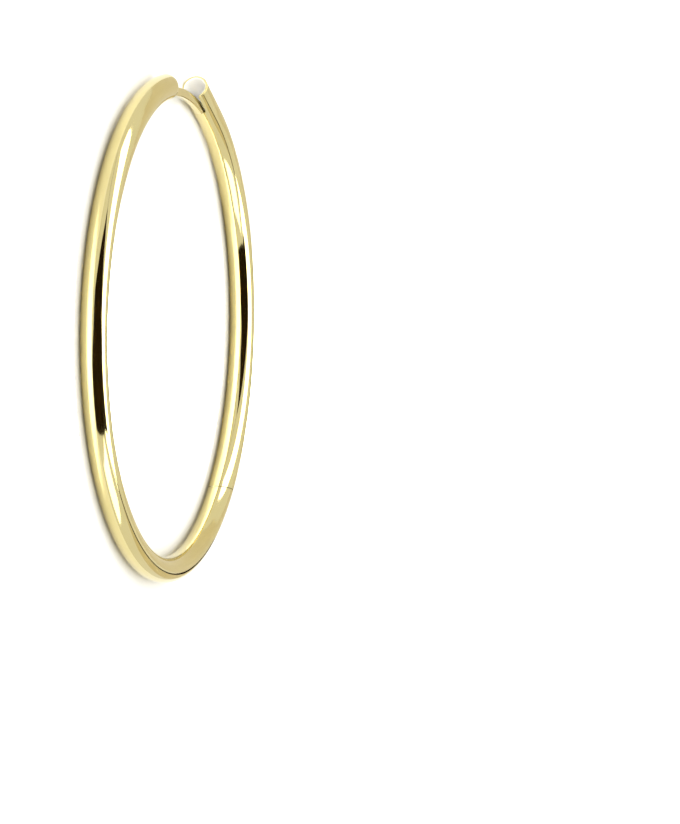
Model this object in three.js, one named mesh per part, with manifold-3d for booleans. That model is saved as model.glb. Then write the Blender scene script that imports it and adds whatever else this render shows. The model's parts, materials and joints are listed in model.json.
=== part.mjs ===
// A hinged hoop earring of hollow round tube, lying on its side. Millimetres, +Z up.
// The hoop's circle is centred on the Z axis and the tube's lowest line lies on z = 0.
// Angles go clockwise from +Y, seen from above. The earlobe gap is at +Y and the hinge is low on the +X side.
import * as THREE from "three";
import { mergeVertices } from "three/addons/utils/BufferGeometryUtils.js";
import Module from "manifold-3d";

// Tube and hoop
const HOOP_DIAMETER = 58; // outside
const TUBE_DIAMETER = 3;
const WALL = 0.3;

// Front arc: from its closed end the long way round to the seam
const FRONT_END_ANGLE = -8;
const CAP_THICKNESS = 0.5;

// Back arc: from the seam, on a slightly wider bend, up to a straight run that ends in the open mouth
const BACK_EASE = 0.35; // how much wider its bend is than the hoop's
const STRAIGHT_FROM_ANGLE = 27;
const STRAIGHT_LENGTH = 6.2;

// Post on the front arc's end, curved like the hoop, and the slot that takes it
const POST_HEIGHT = 1.05; // across the hoop's radius
const POST_WIDTH = 0.95; // across the hoop's plane
const POST_CORNER = 0.25;
const POST_INSET = 0.4; // from the hoop's inside to the post
const POST_SIDE_GAP = 0.2;
const POST_END_GAP = 0.25;
const SLOT_LENGTH = 3.4; // from the mouth

// Seam and hinge
const SEAM_ANGLE = 133.6;
const SEAM_TILT = 30; // its outer edge leans towards the mouth
const SEAM_GAP = 0.08;
const KNUCKLE_RADIUS = 0.6;
const KNUCKLE_GAP = 0.1;
const MIDDLE_KNUCKLE = 0.7; // length along the pin
const PIN_DIAMETER = 0.5;
const PIN_CLEARANCE = 0.05; // on the radius
const PIN_INSET = 0.05; // of the pin's ends under the tube's skin

// Facets
const TUBE_SIDES = 20;
const BORE_SIDES = 16;
const CORNER_STEPS = 3;
const KNUCKLE_SIDES = 24;
const PIN_SIDES = 12;
const BEND_STEP = 2.1; // longest facet along the tube

const DEGREE = Math.PI / 180;
const TOO_SHORT = 1e-4; // vertices nearer than this are one
const tubeRadius = TUBE_DIAMETER / 2;
const boreRadius = tubeRadius - WALL;
const hoopRadius = HOOP_DIAMETER / 2 - tubeRadius; // of the tube's centre line
const postRadius = hoopRadius - tubeRadius + POST_INSET + POST_HEIGHT / 2;
const cutSize = 4 * TUBE_DIAMETER; // of a block that cuts the tube right across

const wasm = await Module();
wasm.setup();

// Turns a closed geometry into a solid whose faces point out
function solid(geometry) {
  geometry.deleteAttribute("normal");
  geometry.deleteAttribute("uv");
  const merged = mergeVertices(geometry, TOO_SHORT);
  const vertProperties = new Float32Array(merged.attributes.position.array);
  const triVerts = new Uint32Array(merged.index.array);
  const made = new wasm.Manifold(new wasm.Mesh({ numProp: 3, vertProperties, triVerts }));
  if (made.volume() > 0) return made;
  for (let i = 0; i < triVerts.length; i += 3) {
    [triVerts[i + 1], triVerts[i + 2]] = [triVerts[i + 2], triVerts[i + 1]];
  }
  return new wasm.Manifold(new wasm.Mesh({ numProp: 3, vertProperties, triVerts }));
}

function geometryOf(made) {
  const { numProp, vertProperties, triVerts } = made.getMesh();
  const data = new THREE.InterleavedBuffer(vertProperties, numProp);
  const geometry = new THREE.BufferGeometry();
  geometry.setAttribute("position", new THREE.InterleavedBufferAttribute(data, 3, 0));
  geometry.setIndex(new THREE.BufferAttribute(triVerts, 1));
  const flat = geometry.toNonIndexed();
  flat.computeVertexNormals();
  return flat;
}

// Directions and places at an angle round the hoop
const outward = (angle) => new THREE.Vector3(Math.sin(angle * DEGREE), Math.cos(angle * DEGREE), 0);
const forward = (angle) => new THREE.Vector3(Math.cos(angle * DEGREE), -Math.sin(angle * DEGREE), 0);
const onHoop = (angle) => outward(angle).multiplyScalar(hoopRadius);
const angleOf = (length, radius = hoopRadius) => length / radius / DEGREE;

// A centre line in the hoop's plane: an arc between two angles about a centre, then a straight run
class BentLine extends THREE.Curve {
  constructor(radius, fromAngle, toAngle, straight = 0, centre = new THREE.Vector3()) {
    super();
    this.radius = radius;
    this.centre = centre;
    this.fromAngle = fromAngle;
    this.turn = toAngle - fromAngle;
    this.arc = radius * Math.abs(this.turn) * DEGREE;
    this.length = this.arc + straight;
  }

  getPoint(t, target = new THREE.Vector3()) {
    const run = t * this.length;
    const bent = Math.min(run, this.arc);
    const angle = this.fromAngle + (this.turn * bent) / this.arc;
    const straightRun = Math.sign(this.turn) * (run - bent);
    return target
      .copy(outward(angle))
      .multiplyScalar(this.radius)
      .addScaledVector(forward(angle), straightRun)
      .add(this.centre);
  }
}

// A solid bar of a given section along a centre line
function bar(section, line, curveSegments) {
  const options = {
    steps: Math.ceil(line.length / BEND_STEP),
    extrudePath: line,
    curveSegments,
    bevelEnabled: false,
  };
  return solid(new THREE.ExtrudeGeometry(section, options));
}

// A path's arcs get two sides for each segment asked for
function roundBar(radius, line, sides) {
  return bar(new THREE.Shape().absarc(0, 0, radius, 0, 2 * Math.PI), line, sides / 2);
}

// A block whose near face is centred on a point and square to a direction in the hoop's plane
function block(point, direction, depth, across, height) {
  const side = new THREE.Vector3(-direction.y, direction.x, 0);
  const up = new THREE.Vector3(0, 0, 1);
  const place = new THREE.Matrix4().makeBasis(direction, side, up);
  place.setPosition(point.clone().addScaledVector(direction, depth / 2));
  return solid(new THREE.BoxGeometry(depth, across, height).applyMatrix4(place));
}

// The hinge's axis lies in the seam's plane, where the knuckles end flush with the tube's outside
const seamPoint = onHoop(SEAM_ANGLE);
const seamTilt = SEAM_TILT * DEGREE;
const seamFacing = forward(SEAM_ANGLE)
  .multiplyScalar(Math.cos(seamTilt))
  .addScaledVector(outward(SEAM_ANGLE), Math.sin(seamTilt)); // towards the front arc
const seamOutward = outward(SEAM_ANGLE)
  .multiplyScalar(Math.cos(seamTilt))
  .addScaledVector(forward(SEAM_ANGLE), -Math.sin(seamTilt));
const axisRise = (tubeRadius - KNUCKLE_RADIUS) / Math.cos(seamTilt);
const hingeAxis = seamPoint.clone().addScaledVector(seamOutward, axisRise);

// The back arc's bend starts in line with the hoop at the seam, so its centre lies off the hoop's
const backRadius = hoopRadius + BACK_EASE;
const backCentre = outward(SEAM_ANGLE).multiplyScalar(-BACK_EASE);
const towardsMouth = forward(STRAIGHT_FROM_ANGLE).negate();

// How far each arc's blank runs past the seam before it is cut there
const seamOverrun = angleOf(tubeRadius * Math.tan(seamTilt) + tubeRadius);

// A cylinder on the hinge's axis between two heights; its flats stand clear of the radius where it is a cut
function onAxis(radius, low, high, sides, isCut = false) {
  const corner = isCut ? radius / Math.cos(Math.PI / sides) : radius;
  const geometry = new THREE.CylinderGeometry(corner, corner, high - low, sides);
  geometry.rotateX(Math.PI / 2);
  geometry.translate(hingeAxis.x, hingeAxis.y, (low + high) / 2);
  return solid(geometry);
}

const middleHalf = MIDDLE_KNUCKLE / 2;
const outerFrom = middleHalf + KNUCKLE_GAP;
const seamBlank = roundBar(
  tubeRadius,
  new BentLine(hoopRadius, SEAM_ANGLE - seamOverrun, SEAM_ANGLE + seamOverrun),
  TUBE_SIDES,
);
const pinBore = onAxis(PIN_DIAMETER / 2 + PIN_CLEARANCE, -cutSize, cutSize, PIN_SIDES, true);

// The tube with its bore; the bore's line runs past each open end
function tube(line, boreLine) {
  return roundBar(tubeRadius, line, TUBE_SIDES).subtract(roundBar(boreRadius, boreLine, BORE_SIDES));
}

function post() {
  const slotEnd = backCentre.dot(towardsMouth) + STRAIGHT_LENGTH - SLOT_LENGTH;
  const slotEndAngle = STRAIGHT_FROM_ANGLE - Math.asin(slotEnd / postRadius) / DEGREE;
  const tipAngle = slotEndAngle - angleOf(POST_END_GAP, postRadius);
  const rootAngle = FRONT_END_ANGLE - angleOf(CAP_THICKNESS / 2, postRadius);
  const w = POST_WIDTH / 2;
  const h = POST_HEIGHT / 2;
  const c = POST_CORNER;
  const section = new THREE.Shape()
    .absarc(w - c, h - c, c, 0, Math.PI / 2)
    .absarc(c - w, h - c, c, Math.PI / 2, Math.PI)
    .absarc(c - w, c - h, c, Math.PI, 1.5 * Math.PI)
    .absarc(w - c, c - h, c, 1.5 * Math.PI, 2 * Math.PI);
  return bar(section, new BentLine(postRadius, rootAngle, tipAngle), CORNER_STEPS);
}

function frontArc() {
  const from = SEAM_ANGLE - seamOverrun;
  const end = FRONT_END_ANGLE + 360;
  const line = new BentLine(hoopRadius, from, end);
  const boreLine = new BentLine(hoopRadius, from - seamOverrun, end - angleOf(CAP_THICKNESS));
  const seamFace = seamPoint.clone().addScaledVector(seamFacing, SEAM_GAP / 2);
  const pastSeam = block(seamFace, seamFacing.clone().negate(), cutSize, cutSize, cutSize);
  const pocket = onAxis(KNUCKLE_RADIUS + KNUCKLE_GAP, -outerFrom, outerFrom, KNUCKLE_SIDES, true);
  const knuckles = onAxis(KNUCKLE_RADIUS, outerFrom, tubeRadius, KNUCKLE_SIDES)
    .add(onAxis(KNUCKLE_RADIUS, -tubeRadius, -outerFrom, KNUCKLE_SIDES))
    .intersect(seamBlank);
  return tube(line, boreLine)
    .subtract(pastSeam)
    .subtract(pocket)
    .add(knuckles)
    .subtract(pinBore)
    .add(post());
}

function slot() {
  const start = outward(STRAIGHT_FROM_ANGLE)
    .multiplyScalar(backRadius - tubeRadius)
    .addScaledVector(towardsMouth, STRAIGHT_LENGTH - SLOT_LENGTH)
    .add(backCentre);
  const width = POST_WIDTH + 2 * POST_SIDE_GAP;
  return block(start, towardsMouth, SLOT_LENGTH + TUBE_DIAMETER, TUBE_DIAMETER, width);
}

function backArc() {
  const from = SEAM_ANGLE + seamOverrun;
  const to = STRAIGHT_FROM_ANGLE;
  const line = new BentLine(backRadius, from, to, STRAIGHT_LENGTH, backCentre);
  const boreRun = STRAIGHT_LENGTH + TUBE_DIAMETER;
  const boreLine = new BentLine(backRadius, from + seamOverrun, to, boreRun, backCentre);
  const seamFace = seamPoint.clone().addScaledVector(seamFacing, -SEAM_GAP / 2);
  const pastSeam = block(seamFace, seamFacing, cutSize, cutSize, cutSize);
  const pocketRadius = KNUCKLE_RADIUS + KNUCKLE_GAP;
  const pockets = onAxis(pocketRadius, middleHalf, TUBE_DIAMETER, KNUCKLE_SIDES, true)
    .add(onAxis(pocketRadius, -TUBE_DIAMETER, -middleHalf, KNUCKLE_SIDES, true));
  const knuckle = onAxis(KNUCKLE_RADIUS, -middleHalf, middleHalf, KNUCKLE_SIDES).intersect(seamBlank);
  return tube(line, boreLine)
    .subtract(pastSeam)
    .subtract(pockets)
    .add(knuckle)
    .subtract(pinBore)
    .subtract(slot());
}

// The pin's ends follow the tube's skin
function hingePin() {
  const skinLine = new BentLine(hoopRadius, SEAM_ANGLE - seamOverrun, SEAM_ANGLE + seamOverrun);
  const skin = roundBar(tubeRadius - PIN_INSET, skinLine, TUBE_SIDES);
  return onAxis(PIN_DIAMETER / 2, -TUBE_DIAMETER, TUBE_DIAMETER, PIN_SIDES).intersect(skin);
}

function named(name, made, material) {
  const mesh = new THREE.Mesh(geometryOf(made), material);
  mesh.name = name;
  return mesh;
}

const polishedGold = new THREE.MeshStandardMaterial({ color: 0xe0cf93, roughness: 0.12, metalness: 1 });
const paleGold = new THREE.MeshStandardMaterial({ color: 0xdccb90, roughness: 0.14, metalness: 1 });
const pinMetal = new THREE.MeshStandardMaterial({ color: 0xd2bd80, roughness: 0.25, metalness: 1 });

const hoop = new THREE.Group();
hoop.add(named("front_arc", frontArc(), polishedGold));
hoop.add(named("back_arc", backArc(), paleGold));
hoop.add(named("hinge_pin", hingePin(), pinMetal));
hoop.position.z = tubeRadius;

const earring = new THREE.Group();
earring.add(hoop);

export default earring;
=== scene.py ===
"""The looks of a hinged hoop earring of polished gold tube, lying on a pale floor. Metres, +Z up."""

import json
import math

import bmesh
import bpy
from mathutils import Matrix, Vector


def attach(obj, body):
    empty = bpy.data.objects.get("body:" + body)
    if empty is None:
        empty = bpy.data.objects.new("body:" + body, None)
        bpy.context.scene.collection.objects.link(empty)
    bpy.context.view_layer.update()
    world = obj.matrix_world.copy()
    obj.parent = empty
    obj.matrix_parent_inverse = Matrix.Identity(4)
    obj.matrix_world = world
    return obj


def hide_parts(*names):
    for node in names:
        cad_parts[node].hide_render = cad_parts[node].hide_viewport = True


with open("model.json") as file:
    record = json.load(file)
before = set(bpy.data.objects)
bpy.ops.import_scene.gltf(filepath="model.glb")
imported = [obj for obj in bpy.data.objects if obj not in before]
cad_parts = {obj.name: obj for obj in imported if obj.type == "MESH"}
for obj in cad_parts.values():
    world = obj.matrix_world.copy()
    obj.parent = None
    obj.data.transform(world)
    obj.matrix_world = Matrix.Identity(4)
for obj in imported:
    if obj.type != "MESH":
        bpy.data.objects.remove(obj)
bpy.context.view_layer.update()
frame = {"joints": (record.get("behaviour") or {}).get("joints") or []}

MM = 0.001

# The earring's own sizes, as on its drawing. Angles go clockwise from +Y, seen from above
HOOP_DIAMETER = 58 * MM
TUBE_RADIUS = 1.5 * MM
WALL = 0.3 * MM
HOOP_RADIUS = HOOP_DIAMETER / 2 - TUBE_RADIUS
BORE_RADIUS = TUBE_RADIUS - WALL
END_ANGLE = -8
CAP_THICKNESS = 0.5 * MM
BACK_EASE = 0.35 * MM
STRAIGHT_FROM = 27
STRAIGHT_LENGTH = 6.2 * MM
POST_HEIGHT = 1.05 * MM
POST_WIDTH = 0.95 * MM
POST_INSET = 0.4 * MM
POST_CORNER = 0.25 * MM
POST_SIDE_GAP = 0.2 * MM
POST_END_GAP = 0.25 * MM
SLOT_LENGTH = 3.4 * MM
SEAM_ANGLE = 133.6
SEAM_TILT = math.radians(30)
SEAM_GAP = 0.08 * MM
KNUCKLE_RADIUS = 0.6 * MM
KNUCKLE_GAP = 0.1 * MM
MIDDLE_KNUCKLE = 0.7 * MM
PIN_RADIUS = 0.25 * MM
PIN_CLEARANCE = 0.05 * MM
PIN_INSET = 0.05 * MM
POST_RADIUS = HOOP_RADIUS - TUBE_RADIUS + POST_INSET + POST_HEIGHT / 2
HINGE = Vector(frame["joints"][0]["pos_m"])

# Softened edges that only show close to
END_EDGE = 0.14 * MM
MOUTH_EDGE = 0.07 * MM
TIP_EDGE = 0.2 * MM
DRESSING = 0.01 * MM  # how far the knuckles are filed under the tube's skin

# Fineness of the meshes
TUBE_SIDES = 96
BORE_SIDES = 64
KNUCKLE_SIDES = 64
EDGE_STEPS = 4
SLOT_CORNER_STEPS = 5
POST_CORNER_STEPS = 6
BEND_STEP = 1.2  # degrees
SHARP = math.radians(35)
SAME_POINT = 1e-8
SAME_POINT_AFTER_CUTS = 2e-7
SHORTEST_EDGE = 1e-7

# The photograph's frame, the camera fitted to the tube's outlines in it, and the hoop's place there
PHOTO_WIDTH, PHOTO_HEIGHT = 680, 824
HOOP_PIXEL = (172.19, 328.31)
PIXELS_PER_RADIUS = 241.08
DISTANCE_IN_RADII = 17.25
CAMERA_ELEVATION = math.radians(17.77)
CAMERA_ROLL = math.radians(1.06)
SENSOR = 36

# Grain of the polished metal. Buffing marks are microns apart, but drawn wider so that they show
CLOUD_SIZE = 6 * MM
HAZE_SIZE = 1.5 * MM
BUFFING_MARK_SIZE = 0.2 * MM
BUFFING_MARK_STRENGTH = 0.05


def srgb(hex_colour):
    """A hex colour as Blender's linear one."""
    parts = [int(hex_colour[i : i + 2], 16) / 255 for i in (0, 2, 4)]
    return tuple(p / 12.92 if p <= 0.04045 else ((p + 0.055) / 1.055) ** 2.4 for p in parts) + (1.0,)


def add_node(tree, kind, settings=None, inputs=None, links=None):
    """Adds a node with its properties, its socket values and the sockets linked into it."""
    node = tree.nodes.new(kind)
    for name, value in (settings or {}).items():
        setattr(node, name, value)
    for name, value in (inputs or {}).items():
        node.inputs[name].default_value = value
    for name, socket in (links or {}).items():
        tree.links.new(socket, node.inputs[name])
    return node


def new_material(name):
    material = bpy.data.materials.new(name)
    material.use_nodes = True
    material.node_tree.nodes.clear()
    return material, material.node_tree


def polished_metal(name, hex_low, hex_high, roughness, mark_depth):
    """Buffed metal: a mirror with faint clouding of tone and gloss, and hair-fine polishing marks."""
    material, tree = new_material(name)
    place = add_node(tree, "ShaderNodeTexCoord").outputs["Object"]

    def noise(size, detail):
        inputs = {"Scale": 1 / size, "Detail": detail}
        return add_node(tree, "ShaderNodeTexNoise", inputs=inputs, links={"Vector": place}).outputs["Fac"]

    tone = add_node(
        tree,
        "ShaderNodeMix",
        {"data_type": "RGBA"},
        {"A": srgb(hex_low), "B": srgb(hex_high)},
        {"Factor": noise(CLOUD_SIZE, 3.0)},
    )
    gloss = add_node(
        tree,
        "ShaderNodeMapRange",
        inputs={"To Min": roughness[0], "To Max": roughness[1]},
        links={"Value": noise(HAZE_SIZE, 4.0)},
    )
    bump = add_node(
        tree,
        "ShaderNodeBump",
        inputs={"Strength": BUFFING_MARK_STRENGTH, "Distance": mark_depth},
        links={"Height": noise(BUFFING_MARK_SIZE, 2.0)},
    )
    shader = add_node(
        tree,
        "ShaderNodeBsdfPrincipled",
        inputs={"Metallic": 1.0},
        links={
            "Base Color": tone.outputs["Result"],
            "Roughness": gloss.outputs["Result"],
            "Normal": bump.outputs["Normal"],
        },
    )
    add_node(tree, "ShaderNodeOutputMaterial", links={"Surface": shader.outputs["BSDF"]})
    return material


def plain_material(name, hex_colour, roughness, specular):
    material, tree = new_material(name)
    shader = add_node(
        tree,
        "ShaderNodeBsdfPrincipled",
        inputs={"Base Color": srgb(hex_colour), "Roughness": roughness, "Specular IOR Level": specular},
    )
    add_node(tree, "ShaderNodeOutputMaterial", links={"Surface": shader.outputs["BSDF"]})
    return material


# Gold plating of about 14 carat over silver, mirror buffed: pale yellow, almost no grain
GOLD = polished_metal("gold_plating_buffed", "D6C78A", "E0D298", (0.05, 0.10), 0.004 * MM)
# Bare sterling silver inside the bore, left white and matt from the acid bath
SILVER = plain_material("sterling_silver_pickled_white", "F8F7F4", 0.6, 0.5)
# Hard drawn pin wire in the same plating, filed flush: a little duller
PIN_METAL = polished_metal("pin_wire_filed", "CDB67C", "DBC68D", (0.16, 0.26), 0.01 * MM)
FLOOR_PAINT = plain_material("floor_matt_white", "F4F4F2", 0.9, 0.2)
BLACK_CLOTH = plain_material("studio_black_cloth", "22180A", 1.0, 0.0)
BUFF_CARD = plain_material("studio_buff_card", "DACFB4", 1.0, 0.0)
PALE_CARD = plain_material("studio_pale_card", "DFD8C9", 1.0, 0.0)


def outward(angle):
    a = math.radians(angle)
    return Vector((math.sin(a), math.cos(a), 0))


def forward(angle):
    a = math.radians(angle)
    return Vector((math.cos(a), -math.sin(a), 0))


# A bend is its radius and centre. The back arc's is a little wider, and is in line with the hoop at the seam
HOOP_BEND = (HOOP_RADIUS, Vector())
BACK_BEND = (HOOP_RADIUS + BACK_EASE, outward(SEAM_ANGLE) * -BACK_EASE)
POST_BEND = (POST_RADIUS, Vector())


def across_bend(angle, bend):
    """Places a section drawn in X and Y: its X goes up and its Y outwards, at an angle round the bend."""
    radius, centre = bend
    out = outward(angle)
    up = Vector((0, 0, 1))
    turn = Matrix((up, out, up.cross(out))).transposed().to_4x4()
    return Matrix.Translation(centre + out * radius + up * TUBE_RADIUS) @ turn


def degrees_of(length, radius=HOOP_RADIUS):
    return math.degrees(length / radius)


def to_object(name, bm, material):
    """Welds the bmesh, points its faces outwards and makes the object."""
    bmesh.ops.remove_doubles(bm, verts=bm.verts, dist=SAME_POINT)
    bmesh.ops.recalc_face_normals(bm, faces=bm.faces)
    mesh = bpy.data.meshes.new(name)
    bm.to_mesh(mesh)
    bm.free()
    mesh.materials.append(material)
    made = bpy.data.objects.new(name, mesh)
    bpy.context.scene.collection.objects.link(made)
    return made


def sweep(bm, face, bend, from_angle, to_angle, straight=0.0):
    """Spins a section's face round a bend, then draws it out straight. Returns the last face."""
    _, centre = bend
    turn = to_angle - from_angle
    steps = max(2, math.ceil(abs(turn) / BEND_STEP))
    spun = bmesh.ops.spin(
        bm,
        geom=[face],
        cent=centre,
        axis=(0, 0, 1),
        angle=-math.radians(turn),
        steps=steps,
        use_merge=False,
        use_duplicate=False,
    )
    last = [item for item in spun["geom_last"] if isinstance(item, bmesh.types.BMFace)][0]
    if straight:
        last = draw_out(bm, last, forward(to_angle) * math.copysign(straight, turn))
    return last


def draw_out(bm, face, offset, scale=1.0):
    """Extrudes a face by an offset, and scales its new end about its middle."""
    made = bmesh.ops.extrude_face_region(bm, geom=[face])["geom"]
    bmesh.ops.delete(bm, geom=[face], context="FACES_ONLY")
    new_face = [item for item in made if isinstance(item, bmesh.types.BMFace)][0]
    bmesh.ops.translate(bm, verts=new_face.verts, vec=offset)
    centre = new_face.calc_center_median()
    bmesh.ops.scale(bm, verts=new_face.verts, vec=(scale,) * 3, space=Matrix.Translation(-centre))
    return new_face


def round_edge(bm, face, size):
    bmesh.ops.bevel(
        bm,
        geom=list(face.edges),
        offset=size,
        offset_type="OFFSET",
        segments=EDGE_STEPS,
        profile=0.5,
        affect="EDGES",
        material=-1,
        clamp_overlap=True,
    )


def disc(bm, radius, sides, angle, bend):
    """A round section across a bend, ready to be swept."""
    place = across_bend(angle, bend)
    bmesh.ops.create_circle(bm, cap_ends=True, segments=sides, radius=radius, matrix=place)
    bm.faces.ensure_lookup_table()
    return bm.faces[0]


def round_bar(name, radius, sides, bend, from_angle, to_angle, straight=0.0, edge=0.0, material=GOLD):
    """A solid round bar along a bend, with its far end's edge softened."""
    bm = bmesh.new()
    last = sweep(bm, disc(bm, radius, sides, from_angle, bend), bend, from_angle, to_angle, straight)
    if edge:
        round_edge(bm, last, edge)
    return to_object(name, bm, material)


def hinge_cylinder(name, radius, low, high):
    """A cylinder on the hinge's axis between two heights, measured from the hoop's middle plane."""
    bm = bmesh.new()
    bmesh.ops.create_cone(
        bm,
        cap_ends=True,
        segments=KNUCKLE_SIDES,
        radius1=radius,
        radius2=radius,
        depth=high - low,
        matrix=Matrix.Translation(Vector((HINGE.x, HINGE.y, TUBE_RADIUS + (low + high) / 2))),
    )
    return to_object(name, bm, GOLD)


def block(name, face_centre, direction, depth, side, height, corner=0.0):
    """A block whose near face is centred on a point and square to a level direction.

    A corner radius rounds the upper and lower edge of the near face.
    """
    bm = bmesh.new()
    bmesh.ops.create_cube(bm, size=1.0)
    bmesh.ops.scale(bm, verts=bm.verts, vec=(depth, side, height))
    if corner:
        crosswise = [e for e in bm.edges if abs(e.verts[0].co.y - e.verts[1].co.y) > side / 2]
        near = [e for e in crosswise if e.verts[0].co.x < 0]
        bmesh.ops.bevel(
            bm,
            geom=near,
            offset=corner,
            offset_type="OFFSET",
            segments=SLOT_CORNER_STEPS,
            profile=0.5,
            affect="EDGES",
            material=-1,
        )
    up = Vector((0, 0, 1))
    turn = Matrix((direction, up.cross(direction), up)).transposed().to_4x4()
    place = Matrix.Translation(face_centre + direction * depth / 2) @ turn
    bmesh.ops.transform(bm, matrix=place, verts=bm.verts)
    return to_object(name, bm, GOLD)


def combine(base, tool, operation):
    """Cuts, joins or trims a piece by a tool, and throws the tool away."""
    modifier = base.modifiers.new("combine", "BOOLEAN")
    modifier.operation = operation
    modifier.object = tool
    modifier.solver = "EXACT"
    modifier.material_mode = "TRANSFER"
    bpy.context.view_layer.update()
    done = bpy.data.meshes.new_from_object(base.evaluated_get(bpy.context.evaluated_depsgraph_get()))
    base.modifiers.clear()
    base.data = done
    bpy.data.objects.remove(tool)
    return base


def finish_piece(piece):
    """Smooth shading, with the true corners kept crisp."""
    bm = bmesh.new()
    bm.from_mesh(piece.data)
    bmesh.ops.remove_doubles(bm, verts=bm.verts, dist=SAME_POINT_AFTER_CUTS)
    bmesh.ops.dissolve_degenerate(bm, edges=bm.edges, dist=SHORTEST_EDGE)
    for face in bm.faces:
        face.smooth = True
    for edge in bm.edges:
        edge.smooth = len(edge.link_faces) == 2 and edge.calc_face_angle(0) < SHARP
    bm.to_mesh(piece.data)
    bm.free()
    piece.data.name = piece.name
    return piece


# The seam's plane holds the hinge axis; its outer edge leans towards the mouth
seam_point = outward(SEAM_ANGLE) * HOOP_RADIUS + Vector((0, 0, TUBE_RADIUS))
seam_facing = forward(SEAM_ANGLE) * math.cos(SEAM_TILT) + outward(SEAM_ANGLE) * math.sin(SEAM_TILT)
seam_overrun = degrees_of(TUBE_RADIUS * math.tan(SEAM_TILT) + TUBE_RADIUS)  # past the seam, to be cut off
CUT = 8 * TUBE_RADIUS  # the size of a tool that cuts right across the tube
middle_half = MIDDLE_KNUCKLE / 2
outer_from = middle_half + KNUCKLE_GAP
pocket_radius = KNUCKLE_RADIUS + KNUCKLE_GAP


def seam_blank(radius):
    """A short bar about the seam, to trim the hinge's parts to the tube's round."""
    ends = (SEAM_ANGLE - seam_overrun, SEAM_ANGLE + seam_overrun)
    return round_bar("blank", radius, TUBE_SIDES, HOOP_BEND, *ends)


def knuckle(low, high):
    """A hinge knuckle, dressed down to just under the tube's skin."""
    made = hinge_cylinder("knuckle", KNUCKLE_RADIUS, low, high)
    return combine(made, seam_blank(TUBE_RADIUS - DRESSING), "INTERSECT")


def pin_hole():
    return hinge_cylinder("pin_hole", PIN_RADIUS + PIN_CLEARANCE, -CUT, CUT)


def ear_post():
    """The post's rounded section, spun along the hoop's own curve to a softened tip."""
    slot_end = STRAIGHT_LENGTH - SLOT_LENGTH - BACK_BEND[1].dot(forward(STRAIGHT_FROM))
    slot_end_angle = STRAIGHT_FROM - math.degrees(math.asin(slot_end / POST_RADIUS))
    tip_angle = slot_end_angle - degrees_of(POST_END_GAP, POST_RADIUS)
    root_angle = END_ANGLE - degrees_of(CAP_THICKNESS / 2, POST_RADIUS)
    bm = bmesh.new()
    bmesh.ops.create_grid(bm, x_segments=1, y_segments=1, size=0.5)
    bmesh.ops.scale(bm, verts=bm.verts, vec=(POST_WIDTH, POST_HEIGHT, 1))
    bmesh.ops.bevel(
        bm,
        geom=list(bm.verts),
        offset=POST_CORNER,
        offset_type="OFFSET",
        segments=POST_CORNER_STEPS,
        profile=0.5,
        affect="VERTICES",
        material=-1,
    )
    bmesh.ops.transform(bm, matrix=across_bend(root_angle, POST_BEND), verts=bm.verts)
    bm.faces.ensure_lookup_table()
    tip = sweep(bm, bm.faces[0], POST_BEND, root_angle, tip_angle)
    round_edge(bm, tip, TIP_EDGE)
    return to_object("post", bm, GOLD)


def make_front_arc():
    start = SEAM_ANGLE - seam_overrun
    end = END_ANGLE + 360
    piece = round_bar("front_tube", TUBE_RADIUS, TUBE_SIDES, HOOP_BEND, start, end, edge=END_EDGE)
    bore_end = end - degrees_of(CAP_THICKNESS)
    bore_start = start - seam_overrun
    bore = round_bar("bore", BORE_RADIUS, BORE_SIDES, HOOP_BEND, bore_start, bore_end, material=SILVER)
    combine(piece, bore, "DIFFERENCE")
    face = seam_point + seam_facing * SEAM_GAP / 2
    combine(piece, block("past_seam", face, -seam_facing, CUT, CUT, CUT), "DIFFERENCE")
    combine(piece, hinge_cylinder("pocket", pocket_radius, -outer_from, outer_from), "DIFFERENCE")
    combine(piece, knuckle(outer_from, TUBE_RADIUS), "UNION")
    combine(piece, knuckle(-TUBE_RADIUS, -outer_from), "UNION")
    combine(piece, pin_hole(), "DIFFERENCE")
    combine(piece, ear_post(), "UNION")
    return finish_piece(piece)


def mouth_bore():
    """The bore of the back arc, with a small flare at the mouth."""
    bm = bmesh.new()
    start = SEAM_ANGLE + 2 * seam_overrun
    section = disc(bm, BORE_RADIUS, BORE_SIDES, start, BACK_BEND)
    last = sweep(bm, section, BACK_BEND, start, STRAIGHT_FROM, STRAIGHT_LENGTH - MOUTH_EDGE)
    heading = -forward(STRAIGHT_FROM)
    last = draw_out(bm, last, heading * MOUTH_EDGE, 1 + MOUTH_EDGE / BORE_RADIUS)
    draw_out(bm, last, heading * TUBE_RADIUS)
    return to_object("bore", bm, SILVER)


def slot_cut():
    """The slot in the inner side of the straight run, open at the mouth."""
    heading = -forward(STRAIGHT_FROM)
    radius, centre = BACK_BEND
    start = centre + outward(STRAIGHT_FROM) * (radius - TUBE_RADIUS) + Vector((0, 0, TUBE_RADIUS))
    start += heading * (STRAIGHT_LENGTH - SLOT_LENGTH)
    width = POST_WIDTH + 2 * POST_SIDE_GAP
    return block("slot", start, heading, SLOT_LENGTH + 2 * TUBE_RADIUS, 2 * TUBE_RADIUS, width, POST_SIDE_GAP)


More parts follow.
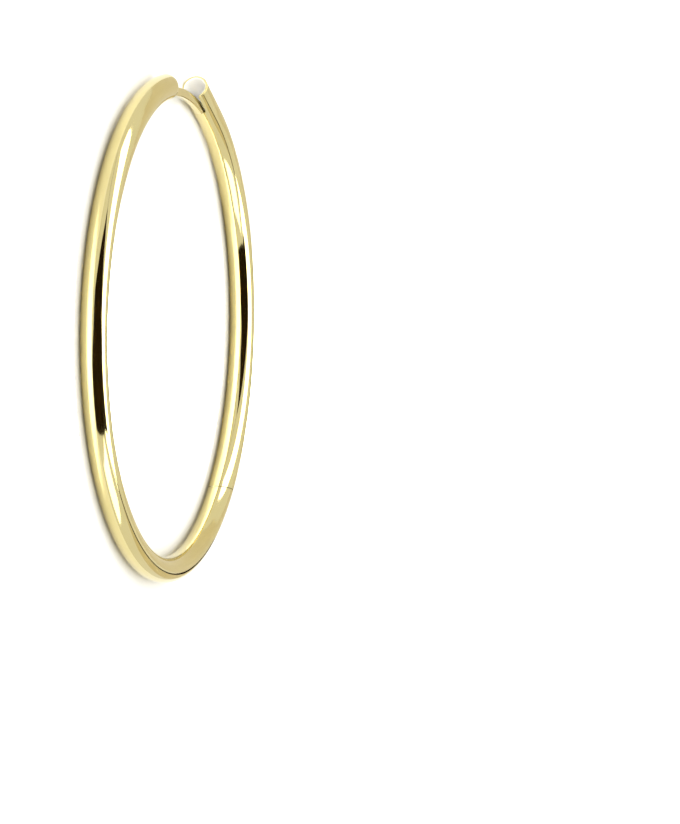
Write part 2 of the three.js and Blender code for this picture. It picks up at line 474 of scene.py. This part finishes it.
def make_back_arc():
    start = SEAM_ANGLE + seam_overrun
    run = (start, STRAIGHT_FROM, STRAIGHT_LENGTH)
    piece = round_bar("back_tube", TUBE_RADIUS, TUBE_SIDES, BACK_BEND, *run, edge=MOUTH_EDGE)
    combine(piece, mouth_bore(), "DIFFERENCE")
    face = seam_point - seam_facing * SEAM_GAP / 2
    combine(piece, block("past_seam", face, seam_facing, CUT, CUT, CUT), "DIFFERENCE")
    combine(piece, hinge_cylinder("pocket", pocket_radius, middle_half, CUT), "DIFFERENCE")
    combine(piece, hinge_cylinder("pocket", pocket_radius, -CUT, -middle_half), "DIFFERENCE")
    combine(piece, knuckle(-middle_half, middle_half), "UNION")
    combine(piece, pin_hole(), "DIFFERENCE")
    combine(piece, slot_cut(), "DIFFERENCE")
    return finish_piece(piece)


def make_pin():
    piece = hinge_cylinder("pin", PIN_RADIUS, -CUT, CUT)
    combine(piece, seam_blank(TUBE_RADIUS - PIN_INSET), "INTERSECT")
    piece.data.materials.clear()
    piece.data.materials.append(PIN_METAL)
    for polygon in piece.data.polygons:
        polygon.material_index = 0
    return finish_piece(piece)


front_arc = make_front_arc()
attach(front_arc, "front")
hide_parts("front_arc")

back_arc = make_back_arc()
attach(back_arc, "back")
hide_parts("back_arc")

pin = make_pin()
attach(pin, "front")
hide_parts("hinge_pin")

# Camera: low over the floor on the near side, turned so that the earlobe gap is at the top of the frame
back = Vector((-math.cos(CAMERA_ELEVATION), 0, math.sin(CAMERA_ELEVATION)))
level_up = Vector((0, 1, 0))
level_right = level_up.cross(back)
right = level_right * math.cos(CAMERA_ROLL) + level_up * math.sin(CAMERA_ROLL)
up = level_up * math.cos(CAMERA_ROLL) - level_right * math.sin(CAMERA_ROLL)
focal_pixels = PIXELS_PER_RADIUS * DISTANCE_IN_RADII
hoop_in_view = Vector(
    (
        (HOOP_PIXEL[0] - PHOTO_WIDTH / 2) / focal_pixels,
        (PHOTO_HEIGHT / 2 - HOOP_PIXEL[1]) / focal_pixels,
        -1,
    )
)
aim = hoop_in_view.rotation_difference(Vector((0, 0, -1))).to_matrix()
hoop_centre = Vector((0, 0, TUBE_RADIUS))

camera_data = bpy.data.cameras.new("camera")
camera_data.sensor_fit = "VERTICAL"
camera_data.sensor_height = SENSOR
camera_data.lens = focal_pixels / PHOTO_HEIGHT * SENSOR
camera_data.clip_start = 0.01
camera = bpy.data.objects.new("camera", camera_data)
turned = Matrix((right, up, back)).transposed() @ aim
camera_place = hoop_centre + back * DISTANCE_IN_RADII * HOOP_RADIUS
camera.matrix_world = Matrix.Translation(camera_place) @ turned.to_4x4()
bpy.context.scene.collection.objects.link(camera)
bpy.context.scene.camera = camera


def flat_sheet(name, corners, material):
    """A flat four-cornered sheet of the studio."""
    bm = bmesh.new()
    bm.faces.new([bm.verts.new(corner) for corner in corners])
    sheet = to_object(name, bm, material)
    return sheet


FLOOR_HALF = 3.0
flat_sheet(
    "floor",
    [(x * FLOOR_HALF, y * FLOOR_HALF, 0) for x, y in ((-1, -1), (1, -1), (1, 1), (-1, 1))],
    FLOOR_PAINT,
)


# Cloths and cards hang round the hoop for its reflections: cloths make the dark streaks of studio jewellery,
# cards its deeper tones. Each row is a place round from the camera towards the earlobe gap, and the heights
# of the sheet's lower and upper edge over the horizon there, all in degrees as the hoop sees them
CAMERA_SIDE_ROWS = (
    (-90, 64, 66),
    (-60, 54, 76),
    (-47, 28, 78),
    (-41, 0, 79),
    (-15, 2, 80),
    (0, 12, 77),
    (15, 12, 72),
    (26, 20, 66),
    (36, 25, 56),
    (45, 29, 45),
    (52, 27, 28.5),
    (60, 19, 20),
    (75, 6, 6.8),
)
# A narrow strip behind the low side of the hoop, for the brown line along its lower bend, and a card under it
LOW_SIDE_ROWS = (
    (-168, 0, 8),
    (-160, 7, 16),
    (-152, 26, 32.5),
    (-142, 38, 43.5),
    (-130, 47.5, 51.5),
    (-115, 54, 56.5),
    (-100, 57, 58),
)
LOW_CARD_ROWS = (
    (-163, 0, 4),
    (-157, 0, 17),
    (-148, 4, 32),
    (-138, 14, 41),
    (-126, 28, 49),
)
# A pale card behind the hoop, low down, which the bend at the bottom of the picture mirrors
REAR_CARD_ROWS = (
    (126, 0, 30),
    (140, 0, 38),
    (160, 0, 38),
    (180, 0, 34),
    (197, 0, 34),
)


def hang(name, rows, distance, material):
    """Hangs a row of sheets that only the metal's reflections see."""

    def place(round_angle, height):
        a, h = math.radians(round_angle), math.radians(height)
        return Vector((-math.cos(a) * math.cos(h), math.sin(a) * math.cos(h), math.sin(h))) * distance

    for index, ((a, a_low, a_high), (b, b_low, b_high)) in enumerate(zip(rows, rows[1:])):
        corners = [place(a, a_low), place(b, b_low), place(b, b_high), place(a, a_high)]
        sheet = flat_sheet(f"{name}_{index}", corners, material)
        sheet.visible_camera = False
        sheet.visible_diffuse = False
        sheet.visible_shadow = False


hang("cloth_camera_side", CAMERA_SIDE_ROWS, distance=0.16, material=BLACK_CLOTH)
hang("cloth_low_side", LOW_SIDE_ROWS, distance=0.25, material=BLACK_CLOTH)
hang("card_low_side", LOW_CARD_ROWS, distance=0.26, material=BUFF_CARD)
hang("card_rear", REAR_CARD_ROWS, distance=0.28, material=PALE_CARD)


def softbox(name, place, target, width, height, radiance, lights):
    """A soft lamp, unseen by the camera, for the "metal" to mirror or to light the matt "floor".

    Its width runs level.
    """
    data = bpy.data.lights.new(name, "AREA")
    data.shape = "RECTANGLE"
    data.size = width
    data.size_y = height
    data.energy = math.pi * width * height * radiance
    lamp = bpy.data.objects.new(name, data)
    lamp.location = place
    lamp.rotation_euler = (Vector(target) - Vector(place)).to_track_quat("-Z", "Y").to_euler()
    lamp.visible_camera = False
    lamp.visible_diffuse = lights == "floor"
    lamp.visible_glossy = lights == "metal"
    bpy.context.scene.collection.objects.link(lamp)
    return lamp


# The softbox over the hoop makes its white bands, the one at its low side the pale band along the lower bend
over_place, over_target = (0.04, 0.30, 0.30), (0.04, 0.30, 0)
softbox("softbox_over", over_place, over_target, width=0.20, height=1.0, radiance=4.0, lights="metal")
side_place, side_target = (-0.09, -0.43, 0.23), (0, 0, 0)
softbox("softbox_low_side", side_place, side_target, width=0.30, height=0.30, radiance=2.2, lights="metal")

# The floor is lit all over, with a brighter pool across the middle of the hoop for the metal to mirror
softbox("floor_fill", (0, 0, 0.9), (0, 0, 0), width=1.2, height=1.2, radiance=1.2, lights="floor")
pool_place, pool_target = (0.063, -0.003, 0.10), (-0.002, -0.003, 0)
pool = softbox("floor_pool", pool_place, pool_target, width=0.012, height=0.14, radiance=45.0, lights="floor")
pool.data.spread = math.radians(12)

# A small spot shines into the open mouth
mouth = Vector((7 * MM, 28 * MM, TUBE_RADIUS))
spot = bpy.data.lights.new("mouth_spot", "SPOT")
spot.energy = 6.0
spot.spot_size = math.radians(3)
spot.spot_blend = 0.6
spot.shadow_soft_size = 0.01
mouth_spot = bpy.data.objects.new("mouth_spot", spot)
mouth_spot.location = mouth + Vector((-0.2, 0.02, 0.064))
mouth_spot.rotation_euler = (mouth - mouth_spot.location).to_track_quat("-Z", "Y").to_euler()
mouth_spot.visible_glossy = False
bpy.context.scene.collection.objects.link(mouth_spot)

world = bpy.data.worlds.new("studio")
world.use_nodes = True
bpy.context.scene.world = world
sky = world.node_tree.nodes["Background"]
sky.inputs["Color"].default_value = srgb("FBFBFA")
sky.inputs["Strength"].default_value = 1.0
bpy.context.scene.view_settings.view_transform = "Standard"
